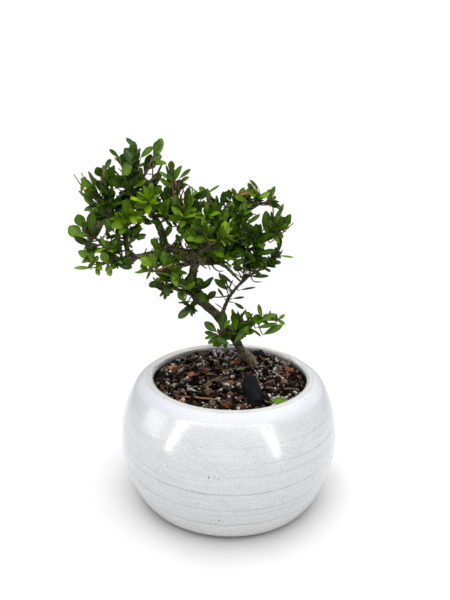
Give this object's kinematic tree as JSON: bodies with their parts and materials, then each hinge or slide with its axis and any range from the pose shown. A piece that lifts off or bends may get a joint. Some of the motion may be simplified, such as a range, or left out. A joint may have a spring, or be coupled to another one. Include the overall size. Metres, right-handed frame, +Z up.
{
  "type": "bonsai tree in a pot",
  "caption": "Small-leaved bonsai tree with a slanting bare trunk and spreading leafy crown, growing in gritty soil in a round pale glazed bowl with a closed-in mouth.",
  "frame": {"origin": "centre of the flat base of the pot, on the surface it stands on", "axes": "+Z up; +X towards the side of the mouth where the trunk is rooted, so the crown leans towards -X; -Y towards the front of the tree"},
  "size_m": [0.1506, 0.125, 0.2039],
  "materials": {
    "glazed_pot": "glossy speckled glaze",
    "soil_mix": "moist dark compost and pumice grit",
    "bark": "rough grey-brown bark with moss",
    "leaf": "waxy green leaf",
    "charcoal": "dull black charcoal",
    "scoria": "matt porous lava grit",
    "bark_chip": "matt dry bark"
  },
  "bodies": {
    "root": {"bark_curl": "bark_chip", "charcoal_back": "charcoal", "charcoal_chunk": "charcoal", "fallen_leaf": "leaf", "pot": "glazed_pot", "scoria_left": "scoria", "scoria_right": "scoria", "soil": "soil_mix", "sprig_01_leader": "leaf", "sprig_02_leader": "leaf", "sprig_03_leader": "leaf", "sprig_04_leader": "leaf", "sprig_05_leader": "leaf", "sprig_06_leader": "leaf", "sprig_07_left_riser": "leaf", "sprig_08_left_riser": "leaf", "sprig_09_left_riser": "leaf", "sprig_10_left_riser": "leaf", "sprig_11_left_riser": "leaf", "sprig_12_left_riser": "leaf", "sprig_13_left_riser": "leaf", "sprig_14_left_tip": "leaf", "sprig_15_left_tip": "leaf", "sprig_16_left_arm": "leaf", "sprig_17_left_arm": "leaf", "sprig_18_left_arm": "leaf", "sprig_19_top_arm": "leaf", "sprig_20_top_arm": "leaf", "sprig_21_top_arm": "leaf", "sprig_22_top_arm": "leaf", "sprig_23_mid_arm": "leaf", "sprig_24_mid_arm": "leaf", "sprig_25_right_arm": "leaf", "sprig_26_right_arm": "leaf", "sprig_27_right_arm": "leaf", "sprig_28_right_arm": "leaf", "sprig_29_right_arm": "leaf", "sprig_30_right_low": "leaf", "sprig_31_right_low": "leaf", "sprig_32_right_low": "leaf", "sprig_33_right_low": "leaf", "sprig_34_right_low": "leaf", "sprig_35_crook": "leaf", "sprig_36_crook": "leaf", "sprig_37_crook": "leaf", "sprig_38_crook": "leaf", "sprig_39_front_arm": "leaf", "sprig_40_front_arm": "leaf", "sprig_41_front_left": "leaf", "sprig_42_front_left": "leaf", "sprig_43_low_left": "leaf", "sprig_44_low_left": "leaf", "sprig_45_trunk": "leaf", "sprig_46_trunk": "leaf", "sprig_47_foot_right": "leaf", "sprig_48_foot_right": "leaf", "sprig_49_trunk": "leaf", "sprig_50_trunk": "leaf", "stick": "bark_chip", "wood": "bark"}
  },
  "joints": []
}
